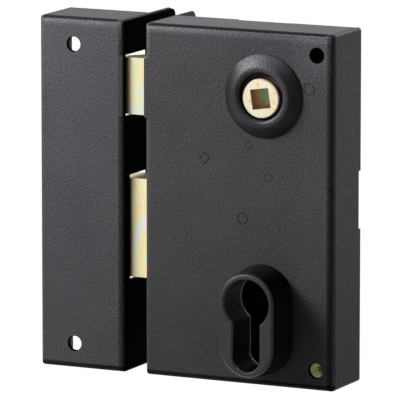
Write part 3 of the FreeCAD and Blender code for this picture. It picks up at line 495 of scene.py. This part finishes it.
# the square hole: the film's hues change as it deepens, all darker than the hub's face as painted
# shade, and redder and darker towards its foot
SQUARE_DEPTH = 0.0150
hub_tree = follower_zinc.node_tree
hub_colour = hub_tree.nodes["Principled BSDF"].inputs["Base Color"]
hub_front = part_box("follower")[0].y
film_hues_and_shade = shades(hub_tree, along(hub_tree, "Y", hub_front, hub_front + SQUARE_DEPTH),
               [(0.0, (0.42, 0.15, 0.07)), (0.28, (0.62, 0.28, 0.10)),
                (0.50, (0.54, 0.42, 0.08)), (0.70, (0.18, 0.42, 0.38)),
                (1.0, (0.28, 0.34, 0.14))])
hole_low_shade = blended(hub_tree, along(hub_tree, "Z", -0.0005, -0.0040, 0.0, 0.6), film_hues_and_shade,
                   (0.42, 0.17, 0.05, 1.0))
hub_tree.links.new(blended(hub_tree, along(hub_tree, "Y", hub_front + 0.00035, hub_front + 0.0007),
                           hub_colour.links[0].from_socket, hole_low_shade), hub_colour)
dress(follower_zinc, "follower")


# Latch bolt: a bevelled block with a mortise, riveted to a tail of 3 mm
# sheet that slides on a post. Zinc plated and passivated before riveting.
def film(level):
    """Hues of the clear passivate at one brightness, for a ramp."""
    hues = ((0.30, (1.00, 0.72, 0.56)), (0.37, (1.02, 0.88, 0.60)), (0.43, (1.06, 0.90, 0.38)),
            (0.49, (1.00, 0.88, 0.66)), (0.55, (0.92, 0.98, 0.48)), (0.61, (0.84, 0.93, 0.88)),
            (0.68, (1.00, 0.84, 0.82)))
    return [(place, tuple(level * part for part in hue)) for place, hue in hues]


latch_zinc = yellow_zinc("latch_zinc", film(0.63), 210.0, 0.32)
latch_tree = latch_zinc.node_tree
latch_colour = latch_tree.nodes["Principled BSDF"].inputs["Base Color"]
# a painted shadow: a dark brown band near the keep's edge, where the keep's wall shades the latch
keep_edge_shadow = joined(latch_tree, "MULTIPLY", along(latch_tree, "X", -0.0526, -0.0551, 0.0, 0.95),
              along(latch_tree, "X", -0.0572, -0.0556))
latch_tree.links.new(blended(latch_tree, keep_edge_shadow, latch_colour.links[0].from_socket,
                             (0.16, 0.085, 0.04, 1.0)), latch_colour)
dress(latch_zinc, "latch_head", "latch_tail")
dress(post_steel, "latch_rivets", "latch_drive_pin")

# Dead bolt: a thick block with a mortise, riveted to a tail with the notch
# that the cylinder's cam turns in. Zinc plated and passivated as the latch.
bolt_zinc = yellow_zinc("bolt_zinc", film(0.74), 260.0, 0.34)
bolt_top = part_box("bolt_head")[1].z
# the same painted shadow of the keep's edge, narrower and not on its top face
toned(bolt_zinc, (0.30, 0.20, 0.14), ("X", -0.0540, -0.0549), ("X", -0.0562, -0.0553),
      ("Z", bolt_top - 0.0001, bolt_top - 0.0004))
dress(bolt_zinc, "bolt_head", "bolt_tail")
dress(post_steel, "bolt_rivets")

# Latch spring: spring steel wire wound round the nibs of the tail and the
# seat, its end turns closed. It shortens as the follower draws the latch.
WIRE = 0.00045
OPEN_TURNS, TURN_STEPS = 4, 32
spring_low, spring_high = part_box("latch_spring")
spring_axis = Vector((0.0, (spring_low.y + spring_high.y) / 2,
                      (spring_low.z + spring_high.z) / 2))
coil_middle = (spring_high.z - spring_low.z) / 2 - WIRE
closed_rise = 2 * WIRE + 0.00002
open_rise = (spring_high.x - spring_low.x - 2 * WIRE - 2 * closed_rise) / OPEN_TURNS
wire = bmesh.new()
across = (Matrix.Translation((spring_low.x + WIRE, spring_axis.y, spring_axis.z + coil_middle))
          @ Matrix.Rotation(math.pi / 2, 4, "Y") @ Matrix.Rotation(math.pi / 2, 4, "X"))
section = bmesh.ops.create_circle(wire, cap_ends=True, segments=12, radius=WIRE, matrix=across)
end = section["verts"] + wire.edges[:] + wire.faces[:]
for turns, rise in ((1, closed_rise), (OPEN_TURNS, open_rise), (1, closed_rise)):
    steps = TURN_STEPS * turns
    swept = bmesh.ops.spin(wire, geom=end, cent=spring_axis, axis=(1, 0, 0),
                           dvec=(rise * turns / steps, 0, 0), angle=2 * math.pi * turns,
                           steps=steps, use_merge=False, use_duplicate=False)
    end = swept["geom_last"]
spring_wire = turned_steel("spring_wire", (0.42, 0.42, 0.43), 0.30)
coil = new_piece("latch_coil", closed(wire), "case", "latch_spring", spring_wire)
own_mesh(coil)
seat_zinc = yellow_zinc("seat_zinc", film(0.62), 300.0, 0.34)
dress(seat_zinc, "spring_seat")

# Bow spring: a strip of blued spring steel that holds the dead bolt's tail
# at either end of its throw. It is sprung in between its two posts.
dress(spring_wire, "detent_spring")

# Key lever: punched from zinc plated sheet, with a fork round the drive pin.
# It swings on its pivot when the cylinder's cam pushes it.
lever_zinc = yellow_zinc("lever_zinc", film(0.64), 160.0, 0.33)
dress(lever_zinc, "key_lever")

# Back plate: the same sheet and coat as the case, let in between its flanges
# and screwed to the three pillars.
dress(case_coat, "back_plate")

# Lower screw spacer: a drawn tube grooved along its bore, zinc plated and
# passivated a greener yellow, that shows through the screw hole.
TUBE_BORE, GROOVE_DEEP, GROOVES = 0.0027, 0.00022, 22
tube_low, tube_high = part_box("lower_screw_spacer")
tube_axis = (tube_low + tube_high) / 2
mouth = (Matrix.Translation((tube_axis.x, tube_low.y, tube_axis.z))
         @ Matrix.Rotation(math.pi / 2, 4, "X"))
tube = bmesh.new()
bmesh.ops.create_circle(tube, segments=2 * GROOVES, radius=(tube_high.x - tube_low.x) / 2,
                        matrix=mouth)
bore = bmesh.ops.create_circle(tube, segments=2 * GROOVES, radius=TUBE_BORE, matrix=mouth)["verts"]
widen = 1 + GROOVE_DEEP / TUBE_BORE
bmesh.ops.scale(tube, verts=bore[::2], vec=(widen, 1.0, widen),
                space=Matrix.Translation((-tube_axis.x, 0.0, -tube_axis.z)))
bmesh.ops.bridge_loops(tube, edges=tube.edges[:])
drawn = bmesh.ops.extrude_face_region(tube, geom=tube.faces[:], use_keep_orig=True)["geom"]
bmesh.ops.translate(tube, verts=[item for item in drawn if isinstance(item, bmesh.types.BMVert)],
                    vec=(0.0, tube_high.y - tube_low.y, 0.0))
# its colours, set above one, are painted light that makes the bore brighter than a plate can
# reflect
tube_zinc = yellow_zinc("tube_zinc", [(0.32, (3.5, 3.0, 2.2)), (0.50, (3.2, 3.2, 2.5)),
                                      (0.68, (2.5, 2.9, 1.8))], 400.0, 0.44)
# painted shade: darker in the grooves, in the lower half and, there, with the depth
toned(tube_zinc, (0.36, 0.39, 0.16),
      about(tube_zinc.node_tree, tube_axis.x, tube_axis.z, TUBE_BORE + 0.00004,
            TUBE_BORE + 0.00018))
toned(tube_zinc, (0.66, 0.68, 0.50), ("Z", tube_axis.z + 0.0014, tube_axis.z - 0.0008))
toned(tube_zinc, (0.16, 0.18, 0.09), ("Y", tube_low.y + 0.0030, tube_low.y + 0.0075),
      ("Z", tube_axis.z + 0.0010, tube_axis.z - 0.0005))
grooved = new_piece("grooved_spacer", closed(tube), "case", "lower_screw_spacer",
                    tube_zinc)
grooved.data.shade_flat()

# Plate screws: countersunk, cross recessed and zinc plated, driven from behind
# into the pillars. Known fault: only a cross-shaped core is made, because the
# inset leaves a lone face as it is.
HEAD, SHANK, SINK, SCREW_LONG = 0.0032, 0.0018, 0.0013, 0.0110
SLOT_HALF, SLOT_LONG, SLOT_DEEP, SLOT_NARROWS = 0.00036, 0.0015, 0.0011, 0.6
# each screw: right, up and how far its cross is turned, in degrees
SCREWS = ((-0.0360, 0.0175, 20.0), (0.0180, 0.0043, 65.0), (-0.0340, -0.0975, 40.0))
RIM_STEPS = 24
quarter = [(SLOT_LONG, 0.0), (SLOT_LONG, SLOT_HALF), ((SLOT_LONG + SLOT_HALF) / 2, SLOT_HALF),
           (SLOT_HALF, SLOT_HALF), (SLOT_HALF, (SLOT_LONG + SLOT_HALF) / 2),
           (SLOT_HALF, SLOT_LONG)]
screws = bmesh.new()
for right, up, lean in SCREWS:
    to_axis = Matrix.Translation((-right, 0.0, -up))
    axis = Matrix.Translation((right, 0.0, up)) @ Matrix.Rotation(math.radians(lean), 4, "Y")
    facing = axis @ Matrix.Rotation(-math.pi / 2, 4, "X")
    rim = bmesh.ops.create_circle(screws, cap_ends=True, segments=RIM_STEPS, radius=HEAD,
                                  matrix=facing)["verts"]
    outer = list(dict.fromkeys(edge for vert in rim for edge in vert.link_edges))
    land = rim[0].link_faces[0]
    bmesh.ops.inset_region(screws, faces=[land], thickness=HEAD / 4)
    for loop in land.loops:
        local = axis.inverted() @ loop.vert.co
        angle = math.degrees(math.atan2(local.z, local.x))
        step = round(angle * RIM_STEPS / 360) % RIM_STEPS
        along_arm, across_arm = quarter[step % len(quarter)]
        turn = Matrix.Rotation(-math.radians(90 * (step // len(quarter))), 4, "Y")
        loop.vert.co = axis @ turn @ Vector((along_arm, 0.0, across_arm))
    floor_verts = bmesh.ops.extrude_face_region(screws, geom=[land])["geom"]
    floor_verts = [item for item in floor_verts if isinstance(item, bmesh.types.BMVert)]
    bmesh.ops.scale(screws, verts=floor_verts, vec=(SLOT_NARROWS, 1.0, SLOT_NARROWS),
                    space=to_axis)
    bmesh.ops.translate(screws, verts=floor_verts, vec=(0.0, -SLOT_DEEP, 0.0))
    for drop, narrow in ((SINK, SHANK / HEAD), (SCREW_LONG - SINK, 1.0)):
        rim = bmesh.ops.extrude_edge_only(screws, edges=outer)["geom"]
        outer = [item for item in rim if isinstance(item, bmesh.types.BMEdge)]
        rim = [item for item in rim if isinstance(item, bmesh.types.BMVert)]
        bmesh.ops.scale(screws, verts=rim, vec=(narrow, 1.0, narrow), space=to_axis)
        bmesh.ops.translate(screws, verts=rim, vec=(0.0, -drop, 0.0))
    bmesh.ops.holes_fill(screws, edges=outer, sides=RIM_STEPS)
crossed = new_piece("cross_screws", closed(screws), "case", "plate_screws",
                    seat_zinc)
crossed.data.shade_flat()


# Follower collar: a low cone of black nylon with a rounded lip, turned out of
# the mould and held in the case's face by three pegs.
def moulded_black(name, land, side, land_end, side_gloss):
    """Black nylon: a grained front land that looks greyer, and sides painted darker and given less
    gloss as painted shade.
    """
    finish, tree, shader = finish_with(name)
    front = along(tree, "Y", land_end, land_end - 0.0008)
    tree.links.new(span(tree, front, side_gloss, 0.17), shader.inputs["Specular IOR Level"])
    flow = grain(tree, 120.0, 3.0)
    tree.links.new(span(tree, flow.outputs["Fac"], 0.30, 0.42), shader.inputs["Roughness"])
    fine = grain(tree, 1900.0, 2.5)
    specks = shades(tree, fine.outputs["Fac"], [(0.36, (0.70, 0.70, 0.70)),
                                                (0.64, (1.32, 1.32, 1.36))])
    tree.links.new(blended(tree, 1.0, blended(tree, front, (*side, 1.0), (*land, 1.0)), specks,
                           "MULTIPLY"), shader.inputs["Base Color"])
    relief(tree, shader, fine.outputs["Fac"], 1.0, 0.00018)
    return finish


ROSE_BASE, ROSE_RIM, ROSE_BORE, ROSE_PEG, PEG_CIRCLE = 0.0151, 0.0108, 0.0086, 0.0014, 0.0120
ROSE_FOOT, ROSE_STEPS = 0.0005, 96
rose_low, rose_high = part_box("follower_collar")
rose_right = (rose_low.x + rose_high.x) / 2
rose_up = (rose_low.z + rose_high.z) / 2
rose = bmesh.new()
spun(rose, [(ROSE_BORE, face_front), (ROSE_BASE, face_front), (ROSE_BASE, face_front - ROSE_FOOT),
            (ROSE_RIM, rose_low.y), (ROSE_BORE, rose_low.y)], rose_right, rose_up, ROSE_STEPS)
bmesh.ops.remove_doubles(rose, verts=rose.verts[:], dist=1e-7)
for radius, depth, width, segments in ((ROSE_BORE, rose_low.y, 0.00125, 6),
                                       (ROSE_RIM, rose_low.y, 0.0009, 5),
                                       (ROSE_BASE, face_front - ROSE_FOOT, 0.0004, 3)):
    rim = [edge for edge in rose.edges
           if all(abs(math.hypot(v.co.x - rose_right, v.co.z - rose_up) - radius) < 1e-6
                  and abs(v.co.y - depth) < 1e-6 for v in edge.verts)]
    bmesh.ops.bevel(rose, geom=rim, offset=width, segments=segments, profile=0.5,
                    affect="EDGES", material=-1)
for third in range(3):
    lean = math.radians(90 + 120 * third)
    peg_middle = Vector((rose_right + PEG_CIRCLE * math.cos(lean),
                         (rose_high.y + face_front) / 2,
                         rose_up + PEG_CIRCLE * math.sin(lean)))
    bmesh.ops.create_cone(rose, cap_ends=True, segments=24, radius1=ROSE_PEG, radius2=ROSE_PEG,
                          depth=rose_high.y - face_front,
                          matrix=Matrix.Translation(peg_middle)
                          @ Matrix.Rotation(math.pi / 2, 4, "X"))
rose_nylon = moulded_black("rose_nylon", (0.022, 0.0212, 0.0245), (0.0105, 0.0103, 0.0120),
                           face_front + 0.001, 0.02)
rose_tree = rose_nylon.node_tree
past_lip = about(rose_tree, rose_right, rose_up, ROSE_RIM - 0.0004, ROSE_RIM + 0.0008)
# painted shade on the flank's right and its foot, a painted highlight on the right of the lip and
# on the top, and painted shade on the left
toned(rose_nylon, 0.66, past_lip, ("X", rose_right + 0.0040, rose_right + 0.0125), gloss=0.5)
toned(rose_nylon, 0.47, past_lip, ("Z", rose_up - 0.0060, rose_up - 0.0130), gloss=0.3)
toned(rose_nylon, 1.45,
      about(rose_tree, rose_right, rose_up, ROSE_BORE + 0.0003, ROSE_BORE + 0.0009),
      about(rose_tree, rose_right, rose_up, ROSE_RIM + 0.0003, ROSE_RIM - 0.0005),
      ("X", rose_right - 0.0020, rose_right + 0.0060), gloss=1.4)
toned(rose_nylon, (2.05, 2.02, 2.08), ("Z", rose_up + 0.0070, rose_up + 0.0130), gloss=1.6)
toned(rose_nylon, 0.54, ("X", rose_right - 0.0080, rose_right - 0.0140), gloss=0.5)
new_piece("rose", closed(rose), "case", "follower_collar", rose_nylon)

# Cylinder collar: a tall tapered moulding in the same nylon, pegged into the
# face. Its front land is grained; its sides and its bore are painted darker
# and with almost no gloss, as painted shade.
BARREL_UP, BARREL, LEG_HALF, BOSS_HALF = -0.072, 0.0085, 0.0054, 0.0100
boss_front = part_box("cylinder_collar")[0].y
boss_nylon = moulded_black("boss_nylon", (0.034, 0.033, 0.035), (0.015, 0.015, 0.015),
                           boss_front + 0.0011, 0.0)
boss_tree = boss_nylon.node_tree
boss_gloss = boss_tree.nodes["Principled BSDF"].inputs["Specular IOR Level"]
# a painted reflection: the bore's left wall keeps a little gloss, less of it low in the leg as
# painted shade
wall_gloss = joined(boss_tree, "MULTIPLY", along(boss_tree, "X", 0.0010, -0.0010, 0.0, 0.0075),
                    along(boss_tree, "Z", BARREL_UP - 0.0080, BARREL_UP - 0.0030, 0.25, 1.0))
boss_tree.links.new(joined(boss_tree, "MAXIMUM", boss_gloss.links[0].from_socket, wall_gloss),
                    boss_gloss)
# a painted highlight on the bore's left wall, and painted shade on its leg, the upper side and the
# edge on the left
toned(boss_nylon, (1.80, 1.74, 1.50),
      about(boss_tree, 0.0, BARREL_UP, BARREL + 0.0002, BARREL - 0.0002),
      ("X", 0.0010, -0.0010))
toned(boss_nylon, 0.45, ("Z", BARREL_UP - 0.0070, BARREL_UP - 0.0090),
      ("X", -LEG_HALF - 0.0002, -LEG_HALF + 0.0002), ("X", LEG_HALF + 0.0002, LEG_HALF - 0.0002),
      ("Y", boss_front + 0.0006, boss_front + 0.0012))
toned(boss_nylon, 0.72, ("Z", BARREL_UP + 0.0030, BARREL_UP + 0.0105),
      ("Y", boss_front + 0.0012, boss_front + 0.0030))
toned(boss_nylon, 0.74, ("X", -BOSS_HALF + 0.0010, -BOSS_HALF),
      ("Y", boss_front + 0.0030, boss_front + 0.0015), gloss=0.6)
dress(boss_nylon, "cylinder_collar")

# Keep: folded from the same sheet as the case and powder coated with it, with
# a wing that is screwed to the frame's edge. It takes both bolts.
KEEP_HOLE_RIGHT, KEEP_HOLES_UP = -0.0751, (0.0147, -0.0947)
# its coat is the case's coat made lighter: painted light, as the key lamp stands nearer the keep
keep_lit_coat = powder_coat("keep_powder_coat", (0.050, 0.0485, 0.053), (0.058, 0.056, 0.061))
keep_low, keep_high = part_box("keep_shell")
folded(keep_lit_coat, "keep_shell", [(KEEP_HOLE_RIGHT, up) for up in KEEP_HOLES_UP],
       brow=1.42, upper=1.22, waist=1.07, top=0.82)
below_top = ("Z", keep_high.z - 0.02 * BEND, keep_high.z - 0.10 * BEND)
near_face = ("Y", keep_low.y + 1.3 * BEND, keep_low.y + 0.9 * BEND)
# the bend and the wall at the gap, in the shade of the case
toned(keep_lit_coat, (0.70, 0.69, 0.70), below_top,
      ("X", keep_high.x - 0.97 * BEND, keep_high.x - 0.75 * BEND), gloss=0.5)
toned(keep_lit_coat, 0.05, below_top,
      ("X", keep_high.x - 0.42 * BEND, keep_high.x - 0.05 * BEND), gloss=0.02)
# painted shade on the far left edge, on its bend, tinted green there, and on the cut edge of the
# top flange
toned(keep_lit_coat, (0.36, 0.40, 0.36), below_top, near_face,
      ("X", keep_low.x + 0.50 * BEND, keep_low.x + 0.36 * BEND))
toned(keep_lit_coat, (0.80, 0.89, 0.77), below_top, near_face,
      ("X", keep_low.x + 1.2 * BEND, keep_low.x + 0.8 * BEND))
toned(keep_lit_coat, (0.42, 0.45, 0.42), ("Z", keep_high.z - 0.0002, keep_high.z - 0.0001),
      ("X", keep_low.x + 0.0020, keep_low.x + 0.0017),
      ("Y", keep_low.y + 0.9 * BEND, keep_low.y + 1.05 * BEND))
crisp(new_piece("folded_keep", eased("keep_shell"), "case", "keep_shell",
                keep_lit_coat), FOLD_ANGLE)
